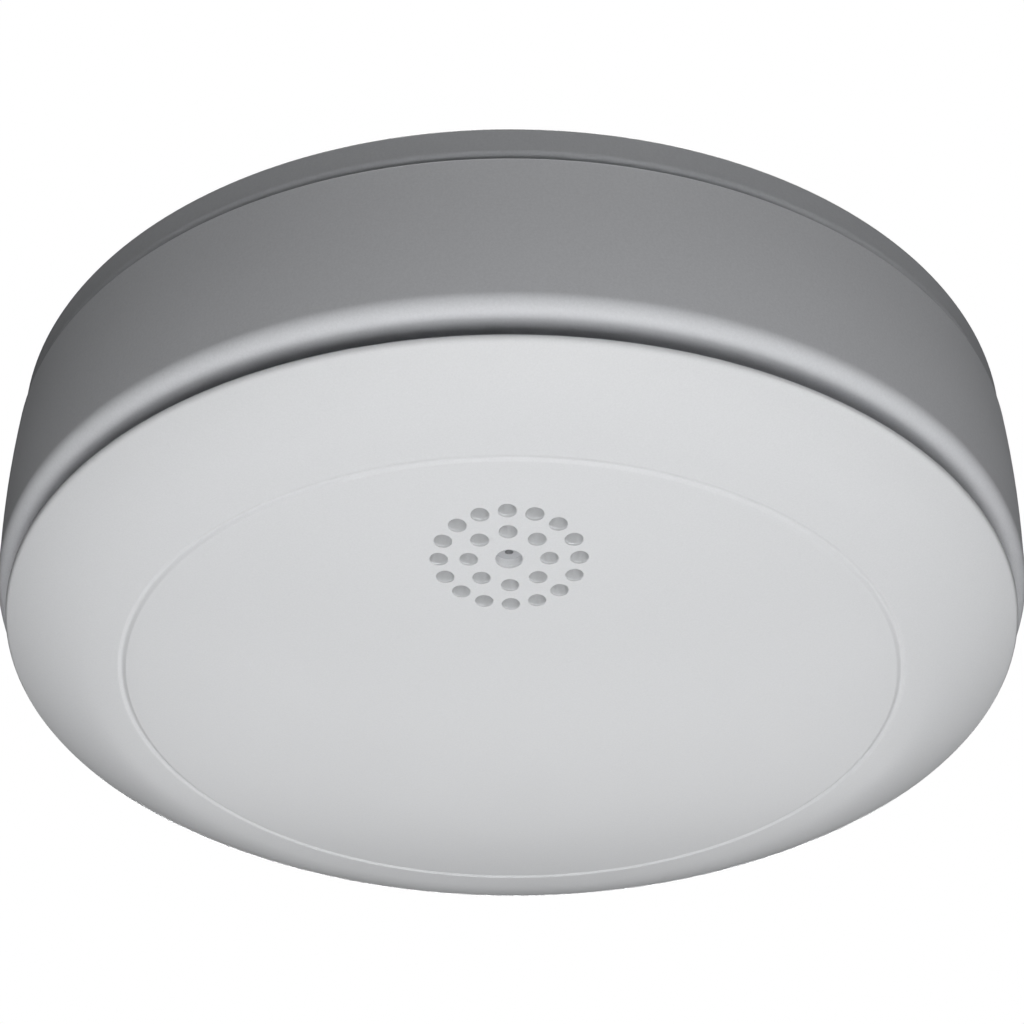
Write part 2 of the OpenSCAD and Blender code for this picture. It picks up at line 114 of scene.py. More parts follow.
def rod(radius, top, bottom, centre=(0, 0), fillet=0.0, steps=48):
    corners = [(0, top, 0), (radius, top, fillet), (radius, bottom, fillet), (0, bottom, 0)]
    return spun(roundedPath(corners), steps, centre)


def block(x, y, top, wide, long, bottom, fillet=0.0, segments=2):
    # a box centred on x, y, from its top depth to its bottom depth
    bm = bmesh.new()
    bmesh.ops.create_cube(bm, size=mm)
    bmesh.ops.scale(bm, vec=(wide, long, bottom - top), verts=bm.verts[:])
    bmesh.ops.translate(bm, vec=place(x, y, (top + bottom) / 2), verts=bm.verts[:])
    if fillet:
        bmesh.ops.bevel(bm, geom=bm.edges[:], offset=fillet * mm, segments=segments, profile=0.5,
                        affect="EDGES", material=-1)
    return bm


def extruded(outline, top, bottom, fillet=0.0):
    # a flat outline of (x, y) points made into a slab
    bm = bmesh.new()
    base = bm.faces.new([bm.verts.new(place(x, y, top)) for x, y in outline])
    grown = bmesh.ops.extrude_face_region(bm, geom=[base])
    verts = [v for v in grown["geom"] if isinstance(v, bmesh.types.BMVert)]
    bmesh.ops.translate(bm, verts=verts, vec=place(0, 0, bottom - top))
    bmesh.ops.recalc_face_normals(bm, faces=bm.faces[:])
    if fillet:
        bmesh.ops.bevel(bm, geom=bm.edges[:], offset=fillet * mm, segments=2, profile=0.5,
                        affect="EDGES", material=-1)
    return bm


def arcOutline(r0, r1, fromDeg, toDeg, steps=8):
    return arcPath(0, 0, r0, fromDeg, toDeg, steps) + arcPath(0, 0, r1, toDeg, fromDeg, steps)


def turned(bm, degrees, axis="Z", centre=(0, 0, 0)):
    rotation = Matrix.Rotation(math.radians(degrees), 3, axis)
    bmesh.ops.rotate(bm, verts=bm.verts[:], cent=centre, matrix=rotation)
    return bm


def ringSpots(radius, count=4):
    # x, y spots spread round a circle, starting half a step on
    angles = [fullTurn * (i + 0.5) / count for i in range(count)]
    return [(radius * math.cos(a), radius * math.sin(a)) for a in angles]


def joined(parts):
    # one bmesh of several, which are used up
    whole = bmesh.new()
    for part in parts:
        scrap = bpy.data.meshes.new("scrap")
        part.to_mesh(scrap)
        part.free()
        whole.from_mesh(scrap)
        bpy.data.meshes.remove(scrap)
    return whole


def meshObject(name, bm):
    mesh = bpy.data.meshes.new(name)
    bm.to_mesh(mesh)
    bm.free()
    piece = bpy.data.objects.new(name, mesh)
    bpy.context.collection.objects.link(piece)
    return piece


def carved(bm, *steps):
    # each step is (operation, list of bmeshes that don't touch one another)
    body = meshObject("carving", bm)
    tools = [meshObject("carvingTool", joined(parts)) for operation, parts in steps]
    for tool, (operation, parts) in zip(tools, steps):
        cut = body.modifiers.new("carve", "BOOLEAN")
        cut.operation = operation
        cut.solver = "EXACT"
        cut.object = tool
    result = bmesh.new()
    result.from_object(body, bpy.context.evaluated_depsgraph_get())
    for used in [body] + tools:
        mesh = used.data
        bpy.data.objects.remove(used)
        bpy.data.meshes.remove(mesh)
    bmesh.ops.remove_doubles(result, verts=result.verts[:], dist=2e-7)
    return result


def finishPiece(name, bm, body, material, replaced=(), sharpAngle=35):
    piece = meshObject(name, bm)
    piece.data.shade_smooth()
    piece.data.set_sharp_from_angle(angle=math.radians(sharpAngle))
    normals = piece.modifiers.new("evenNormals", "WEIGHTED_NORMAL")
    normals.keep_sharp = True
    piece.data.materials.append(material)
    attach(piece, body)
    if replaced:
        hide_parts(*replaced)
    print("made", name, len(piece.data.polygons), "faces")
    return piece


# material parts, each reading the piece's own object coordinates

def newMaterial(name, colour, roughness, **sockets):
    material = bpy.data.materials.new(name)
    material.use_nodes = True
    shader = material.node_tree.nodes["Principled BSDF"]
    shader.inputs["Base Color"].default_value = (*colour, 1)
    shader.inputs["Roughness"].default_value = roughness
    for socket, value in sockets.items():
        shader.inputs[socket.replace("_", " ")].default_value = value
    return material


def grain(material, size, detail=2.0, rough=0.5, stretch=(1, 1, 1)):
    # a noise whose blobs are about size millimetres
    tree = material.node_tree
    coords = tree.nodes.new("ShaderNodeTexCoord")
    mapping = tree.nodes.new("ShaderNodeMapping")
    noise = tree.nodes.new("ShaderNodeTexNoise")
    mapping.inputs["Scale"].default_value = stretch
    noise.inputs["Scale"].default_value = 1 / (size * mm)
    noise.inputs["Detail"].default_value = detail
    noise.inputs["Roughness"].default_value = rough
    tree.links.new(coords.outputs["Object"], mapping.inputs["Vector"])
    tree.links.new(mapping.outputs["Vector"], noise.inputs["Vector"])
    return noise.outputs["Fac"]


def ranged(material, value, low, high, fromLow=0.3, fromHigh=0.7):
    tree = material.node_tree
    spread = tree.nodes.new("ShaderNodeMapRange")
    for socket, number in zip(("From Min", "From Max", "To Min", "To Max"), (fromLow, fromHigh, low, high)):
        spread.inputs[socket].default_value = number
    tree.links.new(value, spread.inputs["Value"])
    return spread.outputs["Result"]


def tinted(material, value, dark, light):
    tree = material.node_tree
    mix = tree.nodes.new("ShaderNodeMix")
    mix.data_type = "RGBA"
    tree.links.new(value, mix.inputs["Factor"])
    mix.inputs["A"].default_value = (*dark, 1)
    mix.inputs["B"].default_value = (*light, 1)
    tree.links.new(mix.outputs["Result"], tree.nodes["Principled BSDF"].inputs["Base Color"])


def bumped(material, layers):
    # layers are (value, height in millimetres), laid one over the other
    tree = material.node_tree
    last = None
    for value, height in layers:
        bump = tree.nodes.new("ShaderNodeBump")
        bump.inputs["Distance"].default_value = height * mm
        tree.links.new(value, bump.inputs["Height"])
        if last:
            tree.links.new(last, bump.inputs["Normal"])
        last = bump.outputs["Normal"]
    tree.links.new(last, tree.nodes["Principled BSDF"].inputs["Normal"])


def rough(material, value):
    tree = material.node_tree
    tree.links.new(value, tree.nodes["Principled BSDF"].inputs["Roughness"])


def shaded(colour, factor):
    return tuple(min(c * factor, 1) for c in colour)


def mottled(material, value, colour, darkest, lightest):
    tinted(material, value, shaded(colour, darkest), shaded(colour, lightest))


def mouldedPlastic(name, colour, roughness, grainSize, grainHeight, mottle=0.03, wave=0.0, **sockets):
    # injection-moulded plastic: specks in the colour, slightly uneven polish, the mould's
    # spark-eroded grain and a slow waviness
    material = newMaterial(name, colour, roughness, **sockets)
    mottled(material, grain(material, grainSize * 0.8, 6, 0.8), colour, 1 - mottle, 1 + mottle)
    rough(material, ranged(material, grain(material, 12, 1), roughness * 0.92, roughness * 1.08))
    layers = [(grain(material, grainSize, 3, 0.6), grainHeight)]
    if wave:
        layers.append((grain(material, 14, 1), wave))
    bumped(material, layers)
    return material


coverWhite = mouldedPlastic("coverSatinWhite", (0.77, 0.78, 0.795), 0.3, 0.25, 0.0002, 0.1, 0.01,
                            Coat_Weight=0.25, Coat_Roughness=0.18)
housingWhite = mouldedPlastic("housingMattWhite", (0.69, 0.70, 0.725), 0.46, 0.35, 0.003, 0.16, 0.01)
# painted shade: the plate gets a darker white than the housing, standing in for the shade that falls on it
# next to the ceiling
platePaintedShadeWhite = mouldedPlastic("plateMattWhiteWithPaintedShade", (0.52, 0.53, 0.55), 0.42, 0.35, 0.003, 0.16, 0.01)
print("materials made")

# front cover: one shallow dome whose edge rolls over, with a ring groove and the sounder grille
coverRadius, coverApex = nodeSpan("front_cover")[::2]
cover = {
    "domeRadius": 287,
    "rollRadius": 27.2,
    "rollStart": 48.7,
    "wall": 2,
    "edgeLand": 0.45,
    "edgeWidth": 1.1,
    "edgeFillet": 0.8,
    "ringRadius": 45,
    "ringWidth": 1.1,
    "ringDip": 0.2,
    "grilleX": -0.3,
    "grilleY": -30,
    "grilleTurn": -1.5,
    "holeRadius": 0.98,
    "lightHoleRadius": 1.45,
    "holeLip": 0.05,
    "holeRings": ((1, 0.0), (8, 4.3), (16, 7.5)),
    "roundSteps": 256,
}


def faceDepth(r):
    dome, roll, start = cover["domeRadius"], cover["rollRadius"], cover["rollStart"]
    lean = start / dome
    inner = coverApex - dome + math.sqrt(dome ** 2 - min(r, start) ** 2)
    if r <= start:
        return inner
    slope = math.asin(lean + (r - start) / roll)
    return inner - roll * (math.sqrt(1 - lean ** 2) - math.cos(slope))


def faceSlope(r):
    step = 0.01
    return math.atan2(faceDepth(r - step) - faceDepth(r + step), 2 * step)


def ringDip(r):
    away = abs(r - cover["ringRadius"]) / (cover["ringWidth"] / 2)
    return cover["ringDip"] * (1 + math.cos(math.pi * away)) / 2 if away < 1 else 0


def coverPath():
    edge = faceDepth(coverRadius) - cover["edgeLand"]
    innerEdge = coverRadius - cover["edgeWidth"]
    ring, half = cover["ringRadius"], cover["ringWidth"] / 2
    radii = [2.0 * i for i in range(6)] + [11.0 + i for i in range(33)]
    radii += [ring - half + half * i / 8 for i in range(17)]
    radii += [46.2, 47.4] + [cover["rollStart"] + 0.8 * i for i in range(12)]
    outside = [(r, faceDepth(r) - ringDip(r), 0) for r in radii]
    corners = [(coverRadius, faceDepth(coverRadius), cover["edgeFillet"]),
               (coverRadius, edge, 0), (innerEdge, edge, 0.15)]
    inside = [(r, faceDepth(r) - cover["wall"], 0) for r in (57, 55, 53, 51, 49)]
    inside += [(r, faceDepth(r) - cover["wall"], 0) for r in range(46, -1, -2)]
    return roundedPath(outside + corners + inside, 5)


def holeCutter(radius, x, y):
    # the mouth flares by a small lip and points along the face's own normal
    lip = cover["holeLip"]
    r = math.hypot(x, y)
    mouth = arcPath(radius + lip, lip, lip, -90, -180, 5)
    bm = spun([(0, -0.5), (radius + lip, -0.5)] + mouth + [(radius, 5), (0, 5)], 32)
    bmesh.ops.rotate(bm, verts=bm.verts[:], cent=(0, 0, 0), matrix=Matrix.Rotation(math.pi, 3, "X"))
    bmesh.ops.rotate(bm, verts=bm.verts[:], cent=(0, 0, 0),
                     matrix=Matrix.Rotation(faceSlope(r), 3, Vector((-y, x, 0)) / r))
    bmesh.ops.translate(bm, verts=bm.verts[:], vec=place(x, y, faceDepth(r)))
    return bm


def holeCutters():
    cutters = []
    for count, ringOfHoles in cover["holeRings"]:
        radius = cover["lightHoleRadius"] if count == 1 else cover["holeRadius"]
        for i in range(count):
            angle = math.radians(cover["grilleTurn"]) + fullTurn * i / count
            cutters.append(holeCutter(radius, cover["grilleX"] + ringOfHoles * math.cos(angle),
                                      cover["grilleY"] + ringOfHoles * math.sin(angle)))
    return cutters


def underFace(sunk):
    # the space behind the domed face, down to sunk millimetres into its wall
    radii = [3 * i for i in range(20)]
    behind = [(r, faceDepth(r) - cover["wall"] + sunk) for r in reversed(radii)]
    return spun([(0, 0), (radii[-1], 0)] + behind, 96)


def tube(outer, inner, top, bottom, centre=(0, 0), fillet=0.0, steps=64):
    corners = [(inner, top, fillet), (outer, top, fillet), (outer, bottom, fillet), (inner, bottom, fillet)]
    return spun(roundedPath(corners, 3), steps, centre)


def radialSlab(outline, wide, fillet=0.0):
    # an outline of (r, depth) points given a width across it
    bm = bmesh.new()
    base = bm.faces.new([bm.verts.new(place(r, -wide / 2, depth)) for r, depth in outline])
    grown = bmesh.ops.extrude_face_region(bm, geom=[base])
    verts = [v for v in grown["geom"] if isinstance(v, bmesh.types.BMVert)]
    bmesh.ops.translate(bm, verts=verts, vec=place(0, wide, 0))
    bmesh.ops.recalc_face_normals(bm, faces=bm.faces[:])
    if fillet:
        bmesh.ops.bevel(bm, geom=bm.edges[:], offset=fillet * mm, segments=2, profile=0.5,
                        affect="EDGES", material=-1)
    return bm


fixings = {
    "collar": (10.6, 9.4, 30.1),
    "collarNotch": (3.2, 12.0, 32.1),
    "postRadius": 2.0,
    "postTip": 17.6,
    "switchY": -2.5,
    "springSpots": ((24, 38), (-24, 38), (24, -38), (-24, -38)),
    "seat": (3.2, 29.3),
    "pin": (1.5, 24.3),
    "snapAngles": (35, 145, 215, 325),
    "snapInner": 45.9,
    "snapThick": 1.8,
    "snapBarb": 1.2,
    "snapTip": 16.9,
    "snapWide": 6.8,
    "deep": 36,
}


def springSeat(spot):
    (seatRadius, seatTop), (pinRadius, pinTop) = fixings["seat"], fixings["pin"]
    return spun(roundedPath([(0, pinTop, 0), (pinRadius, pinTop, 0.4), (pinRadius, seatTop, 0.2),
                             (seatRadius, seatTop, 0.3), (seatRadius, fixings["deep"], 0),
                             (0, fixings["deep"], 0)]), 32, spot)


def snapHook(angle):
    inner, thick, barb, tip = (fixings[key] for key in ("snapInner", "snapThick", "snapBarb", "snapTip"))
    catch = floorTop - 0.1
    outline = [(inner, tip), (inner + thick, tip), (inner + thick + barb, catch - 0.3),
               (inner + thick + barb, catch), (inner + thick, catch), (inner + thick, fixings["deep"]),
               (inner, fixings["deep"])]
    return turned(radialSlab(outline, fixings["snapWide"], 0.15), angle)


def coverFixings():
    outer, inner, top = fixings["collar"]
    notchWide, notchLong, notchDeep = fixings["collarNotch"]
    collar = carved(tube(outer, inner, top, fixings["deep"], (cover["grilleX"], cover["grilleY"]), 0.2),
                    ("DIFFERENCE", [block(0, cover["grilleY"] + notchLong / 2, top - 1, notchWide,
                                          notchLong, notchDeep)]))
    post = rod(fixings["postRadius"], fixings["postTip"], fixings["deep"], (0, fixings["switchY"]), 0.3)
    seats = [springSeat(spot) for spot in fixings["springSpots"]]
    hooks = [snapHook(angle) for angle in fixings["snapAngles"]]
    return carved(joined([collar, post] + seats + hooks), ("INTERSECT", [underFace(1.0)]))


# the housing's sizes come before the cover is made, because the snap hooks catch on its floor
bodyRadius, housingTop = nodeSpan("housing_shell")[:2]
housing = {
    "wall": 2,
    "draft": 0.2,
    "bulge": 0.3,
    "shoulder": 2,
    "lipRadius": 54.5,
    "lipFillet": 1.2,
    "floorRadius": 50.4,
    "floorDepth": 20.5,
    "floorThick": 1.8,
    "smokeGap": 2.6,
    "topFillet": 0.25,
    "bossSpots": ringSpots(50.5),
    "bossRadius": 3.4,
    "bossTop": 7.8,
    "postSpots": ((40, 0), (-31.4, 26.4), (-31.4, -26.4)),
    "postRadius": 2.6,
    "boardFace": 11.6,
    "pilotRadius": 1.0,
    "tubX": -38,
    "tubHalf": (8.9, 18),
    "tubWall": 1.5,
    "tubDepth": 24.7,
    "chamberHole": (18.6, 0, 26),
    "hornHole": (16.8, -0.3, -30),
    "switchHole": (3.2, 0, -2.5),
    "lightHole": (1.9, 0, -9.5),
    "snapSlot": (8, 0.4),
    "roundSteps": 256,
}
ledgeDepth = faceDepth(coverRadius) - cover["edgeLand"] - housing["smokeGap"]
floorTop = housing["floorDepth"] - housing["floorThick"]

coverMesh = carved(spun(coverPath(), cover["roundSteps"]), ("UNION", [coverFixings()]),
                   ("DIFFERENCE", holeCutters()))
finishPiece("frontCover", coverMesh, "cover", coverWhite, ("front_cover",))


# housing: side wall, shoulder, the ledge above the smoke gap and the floor that carries the works
def housingPath():
    wall, lip, floorR, bulge = (housing[key] for key in ("wall", "lipRadius", "floorRadius", "bulge"))
    sideEnd = ledgeDepth - housing["shoulder"]
    side = [(bodyRadius - bulge * (2 * t - 1) ** 2, housingTop + t * (sideEnd - housingTop), 0)
            for t in (0.12, 0.25, 0.375, 0.5, 0.625, 0.75, 0.88)]
    return roundedPath([
        (0, floorTop, 0),
        (floorR + 1.2, floorTop, 0.8),
        (lip + 0.6, ledgeDepth - wall, 0.8),
        (bodyRadius - wall, ledgeDepth - wall, 0.8),
        (bodyRadius - wall - housing["draft"], housingTop, 0.3),
        (bodyRadius - bulge, housingTop, housing["topFillet"])] + side + [
        (bodyRadius - bulge, ledgeDepth, housing["shoulder"]),
        (lip - 0.3, ledgeDepth, housing["lipFillet"]),
        (floorR, housing["floorDepth"], 0.8),
        (0, housing["floorDepth"], 0)], 8)


def housingAdditions():
    halfX, halfY = (half + housing["tubWall"] for half in housing["tubHalf"])
    tub = block(housing["tubX"], 0, floorTop + 0.4, 2 * halfX, 2 * halfY, housing["tubDepth"] + 1.3, 0.8, 3)
    bosses = [rod(housing["bossRadius"], housing["bossTop"], floorTop + 0.5, spot, 0.3)
              for spot in housing["bossSpots"]]
    posts = [rod(housing["postRadius"], housing["boardFace"], floorTop + 0.5, spot, 0.3)
             for spot in housing["postSpots"]]
    pins = [rod(1.5, housing["floorDepth"] - 0.5, housing["floorDepth"] + 2, spot, 0.4, 32)
            for spot in fixings["springSpots"]]
    return [tub] + bosses + posts + pins


def housingCuts():
    pilot, below = housing["pilotRadius"], housing["floorDepth"] + 1
    halfX, halfY = housing["tubHalf"]
    cuts = [rod(pilot, housing["bossTop"] - 1, housing["bossTop"] + 7.5, spot, 0, 24)
            for spot in housing["bossSpots"]]
    cuts += [rod(pilot, housing["boardFace"] - 1, housing["boardFace"] + 5.5, spot, 0, 24)
             for spot in housing["postSpots"]]
    cuts.append(block(housing["tubX"], 0, housing["boardFace"], 2 * halfX, 2 * halfY, housing["tubDepth"]))
    for hole in ("chamberHole", "hornHole", "switchHole", "lightHole"):
        radius, x, y = housing[hole]
        cuts.append(rod(radius, floorTop - 1, below, (x, y), 0, 96))
    slotWide, slotRoom = housing["snapSlot"]
    slotIn = fixings["snapInner"] - slotRoom
    slotOut = fixings["snapInner"] + fixings["snapThick"] + slotRoom
    for angle in fixings["snapAngles"]:
        slot = block((slotIn + slotOut) / 2, 0, floorTop - 1, slotOut - slotIn, slotWide, below)
        cuts.append(turned(slot, angle))
    return cuts


housingMesh = carved(spun(housingPath(), housing["roundSteps"]), ("UNION", housingAdditions()),
                     ("DIFFERENCE", housingCuts()))
finishPiece("housingShell", housingMesh, "detector", housingWhite, ("housing_shell",))

# mounting plate: rim, screw openings, the bayonet hooks and the marks a mould leaves on its back
plateRadius = nodeSpan("mounting_plate")[0]
plate = {
    "rim": 4.0,
    "floor": 1.8,
    "skirt": 2,
    "edgeFillet": 1.0,
    "hooks": (51, 52.6, 55.2, 4),
    "hookHead": (7.1, 8.5),
    "ribRadius": (22, 20.8, 3.0),
    "screwRadius": 2.25,
    "slotSpacing": 70,
    "slotLength": 10,
    "roundSpacing": 60,
    "knockOut": (9, 8.4, 0.35),
    "backGroove": (46.5, 45.9, 0.25),
    "ejectorSpots": ringSpots(31),
    "ejectorRadius": 2.5,
}


def platePath():
    inner = plateRadius - plate["skirt"]
    return roundedPath([
        (0, 0, 0), (plateRadius, 0, 0.3), (plateRadius, plate["rim"], plate["edgeFillet"]),
        (inner, plate["rim"], 0.3), (inner, plate["floor"], 0.6), (0, plate["floor"], 0)], 6)


def bayonetHook(angle):
    stemIn, stemOut, headOut, half = plate["hooks"]
    headTop, headBottom = plate["hookHead"]
    start, end = angle - half, angle + half
    stem = extruded(arcOutline(stemIn, stemOut, start, end), plate["floor"] - 0.3, headBottom)
    head = extruded(arcOutline(stemIn + 0.2, headOut, start, end), headTop, headBottom - 0.05)
    return carved(stem, ("UNION", [head]))


def screwSlot(x):
    half = (plate["slotLength"] - 2 * plate["screwRadius"]) / 2
    outline = [(x + half + px, py) for px, py in arcPath(0, 0, plate["screwRadius"], -90, 90, 12)]
    outline += [(x - half + px, py) for px, py in arcPath(0, 0, plate["screwRadius"], 90, 270, 12)]
    return extruded(outline, -1, plate["floor"] + 1)


def plateCuts():
    cuts = [screwSlot(side * plate["slotSpacing"] / 2) for side in (-1, 1)]
    cuts += [rod(plate["screwRadius"], -1, plate["floor"] + 1, (0, side * plate["roundSpacing"] / 2))
             for side in (-1, 1)]
    outer, inner, deep = plate["knockOut"]
    cuts.append(tube(outer, inner, -1, deep))
    outer, inner, deep = plate["backGroove"]
    cuts.append(tube(outer, inner, -1, deep, steps=192))
    cuts += [rod(plate["ejectorRadius"], -1, 0.12, spot) for spot in plate["ejectorSpots"]]
    return cuts


ribOut, ribIn, ribDeep = plate["ribRadius"]
plateAdditions = [bayonetHook(90 * i) for i in range(4)]
plateAdditions.append(tube(ribOut, ribIn, plate["floor"] - 0.3, ribDeep, fillet=0.2))
plateMesh = carved(spun(platePath(), 256), ("UNION", plateAdditions), ("DIFFERENCE", plateCuts()))
finishPiece("mountingPlate", plateMesh, "ceiling_plate", platePaintedShadeWhite, ("mounting_plate",))
print("outer shells made")

# finishes for the works inside

def brushedMetal(name, colour, roughness, lineSize=0.4, stretch=(1, 1, 0.05), lineHeight=0.002):
    # drawn or rolled metal: fine lines along one direction and uneven tarnish
    material = newMaterial(name, colour, roughness, Metallic=1.0)
    lines = grain(material, lineSize, 3, 0.6, stretch)
    rough(material, ranged(material, grain(material, 3, 4), roughness * 0.8, roughness * 1.3))
    mottled(material, ranged(material, grain(material, 6, 3), 0, 1), colour, 0.88, 1.04)
    bumped(material, [(lines, lineHeight)])
    return material


def clearPlastic(name, colour, roughness, ior=1.49):
    # see-through moulded plastic with faint flow waves
    material = newMaterial(name, colour, roughness, Transmission_Weight=0.9, IOR=ior)
    mottled(material, ranged(material, grain(material, 4), 0, 1), colour, 0.95, 1.03)
    bumped(material, [(grain(material, 3, 1), 0.004)])
    return material


def boardFinish(name, colour):
    # solder mask with copper tracks just showing through it
    material = mouldedPlastic(name, colour, 0.35, 0.15, 0.001, 0.04)
    tree = material.node_tree
    coords = tree.nodes.new("ShaderNodeTexCoord")
    tracks = tree.nodes.new("ShaderNodeTexVoronoi")
    tracks.distance = "CHEBYCHEV"
    tracks.inputs["Scale"].default_value = 1 / (3.2 * mm)
    tracks.inputs["Randomness"].default_value = 0.85
    tree.links.new(coords.outputs["Object"], tracks.inputs["Vector"])
    mottled(material, ranged(material, tracks.outputs["Distance"], 1, 0, 0.36, 0.42), colour, 0.8, 1.35)
    return material


def fibrousPaper(name, colour):
    # matt paper with its fibres showing
    material = newMaterial(name, colour, 0.75)
    mottled(material, ranged(material, grain(material, 0.5, 5, 0.7), 0, 1), colour, 0.93, 1.02)
    rough(material, ranged(material, grain(material, 1.5, 3), 0.65, 0.85))
    bumped(material, [(grain(material, 0.25, 4, 0.7), 0.004)])
    return material


screwSteel = brushedMetal("screwZincSteel", (0.66, 0.66, 0.64), 0.32, 0.3, (1, 1, 1))
springSteel = brushedMetal("springSteelWire", (0.55, 0.55, 0.54), 0.28, 0.1, (1, 1, 0.2))
nickelStrip = brushedMetal("nickelStripRolled", (0.68, 0.66, 0.60), 0.3, 0.12, (1, 0.08, 0.08))
screenSteel = brushedMetal("screenSteelWire", (0.50, 0.50, 0.50), 0.35, 0.1, (1, 1, 1))
capacitorCan = brushedMetal("capacitorCanAluminium", (0.70, 0.71, 0.72), 0.3, 0.2, (1, 1, 0.05))
piezoBrass = brushedMetal("piezoBrassSheet", (0.78, 0.58, 0.26), 0.3, 0.2, (0.05, 1, 1))
solderTin = brushedMetal("solderTin", (0.62, 0.62, 0.62), 0.25, 0.5, (1, 1, 1))
coilCopper = brushedMetal("coilEnamelCopper", (0.55, 0.20, 0.08), 0.3, 0.2, (1, 1, 0.3))
labelPaper = fibrousPaper("labelPaper", (0.80, 0.80, 0.78))
boardGreen = boardFinish("boardSolderMask", (0.015, 0.12, 0.04))
chipBlack = mouldedPlastic("chipEpoxy", (0.018, 0.018, 0.02), 0.55, 0.12, 0.004, 0.1)
ceramicTan = mouldedPlastic("chipCeramicTan", (0.50, 0.36, 0.22), 0.4, 0.1, 0.002, 0.08)
ferriteGrey = mouldedPlastic("ferriteGrey", (0.05, 0.05, 0.055), 0.6, 0.15, 0.006, 0.15)
switchBody = mouldedPlastic("switchNylon", (0.03, 0.03, 0.032), 0.5, 0.2, 0.004, 0.06)
plungerBlack = mouldedPlastic("plungerAcetal", (0.02, 0.02, 0.02), 0.35, 0.2, 0.002, 0.06)
cellSleeve = mouldedPlastic("cellShrinkSleeve", (0.05, 0.16, 0.34), 0.3, 0.5, 0.004, 0.05, 0.02)
chamberBlack = mouldedPlastic("chamberMattBlack", (0.012, 0.012, 0.013), 0.7, 0.3, 0.012, 0.1)
hornGrey = mouldedPlastic("hornGrey", (0.20, 0.20, 0.21), 0.5, 0.3, 0.006, 0.04)
gasketRubber = mouldedPlastic("gasketRubber", (0.02, 0.02, 0.021), 0.85, 0.25, 0.02, 0.15)
ceramicGrey = mouldedPlastic("piezoCeramicDisc", (0.50, 0.49, 0.44), 0.45, 0.15, 0.003, 0.06)
ledRed = clearPlastic("ledRedLens", (0.75, 0.03, 0.02), 0.2)
emitterLens = clearPlastic("emitterBlueLens", (0.35, 0.45, 0.75), 0.08)
diodeLens = clearPlastic("diodeDarkLens", (0.05, 0.04, 0.06), 0.12)
pipeClear = mouldedPlastic("pipeFrosted", (0.50, 0.51, 0.53), 0.35, 0.2, 0.003, 0.02,
                           Transmission_Weight=0.15)
print("inner materials made")


def along(bm, spot, axis, degrees):
    # stands a piece built down the depth axis on another axis, then moves it to x, y, depth
    turned(bm, degrees, axis)
    bmesh.ops.translate(bm, verts=bm.verts[:], vec=place(*spot))
    return bm


def joinedAt(parts, x, y, depth=0):
    whole = joined(parts)
    bmesh.ops.translate(whole, verts=whole.verts[:], vec=place(x, y, depth))
    return whole


# back cover, its screws and the blank label
backRadius, backTop, backDeep = nodeSpan("back_cover")
back = {
    "thick": 1.8,
    "padRadius": 3.8,
    "slotGap": 0.35,
    "twist": 15,
    "counterbore": (2.8, 1.6),
    "clearance": 1.25,
    "ribs": ((24, 23), (38, 37)),
    "ribHeight": 0.8,
}


def backSlots(angle):
    # the narrow way that a hook's stem travels, and the wide way in for its head
    stemIn, stemOut, headOut, half = plate["hooks"]
    gap, twist = back["slotGap"], back["twist"]
    last = angle + twist + half
    travel = arcOutline(stemIn - gap, stemOut + gap, angle - half - 1, last + 1, 16)
    entry = arcOutline(stemIn + 0.1, headOut + gap, last - 2 * half - 1, last + 0.9, 10)
    return extruded(travel, backTop - 1, backDeep + 1), extruded(entry, backTop - 2, backDeep + 2)


def backCoverMesh():
    bottom = backTop + back["thick"]
    body = spun(roundedPath([(0, backTop, 0), (backRadius, backTop, 0.4), (backRadius, bottom, 0.4),
                             (0, bottom, 0)]), 192)
    screwSpots = housing["bossSpots"]
    pads = [rod(back["padRadius"], backTop + 0.5, backDeep, spot, 0.2) for spot in screwSpots]
    ribs = [tube(outer, inner, bottom - 0.3, bottom + back["ribHeight"], fillet=0.15, steps=128)
            for outer, inner in back["ribs"]]
    slots = [backSlots(90 * i) for i in range(4)]
    boreRadius, boreDepth = back["counterbore"]
    bores = [rod(boreRadius, backTop - 1, backTop + boreDepth, spot) for spot in screwSpots]
    holes = [rod(back["clearance"], backTop - 1, backDeep + 1, spot, 0, 32) for spot in screwSpots]
    return carved(body, ("UNION", pads + ribs), ("DIFFERENCE", [travel for travel, entry in slots]),
                  ("DIFFERENCE", [entry for travel, entry in slots]), ("DIFFERENCE", bores),
                  ("DIFFERENCE", holes))


finishPiece("backCover", backCoverMesh(), "detector", housingWhite, ("back_cover",))

screws = {
    "shankRadius": 0.95,
    "threadPitch": 0.8,
    "threadDepth": 0.22,
    "headHeight": 1.3,
    "headFillet": 1.0,
    "recess": (2.4, 0.5, 0.7),
    "recessAngles": (20, 110),
}


# threads are plain grooves, and the cross recess is two slots
def panScrew(headRadius, seat, shankLength, spot):
    top = seat - screws["headHeight"]
    shank, pitch, fillet = screws["shankRadius"], screws["threadPitch"], screws["headFillet"]
    root = shank - screws["threadDepth"]
    path = [(0, top)] + arcPath(headRadius - fillet, top + fillet, fillet, -90, 0, 5)
    path += [(headRadius, seat), (shank, seat)]
    for i in range(int((shankLength - 1.2) / pitch)):
        depth = seat + 0.4 + i * pitch
        path += [(root, depth), (shank, depth + pitch / 2)]
    path += [(root, seat + shankLength - 0.8), (0, seat + shankLength)]
    long, wide, deep = screws["recess"]
    arms = [turned(block(0, 0, top - 1, long, wide, top + deep), angle) for angle in screws["recessAngles"]]
    screw = carved(spun(path, 24), *[("DIFFERENCE", [arm]) for arm in arms])
    return joinedAt([screw], *spot)


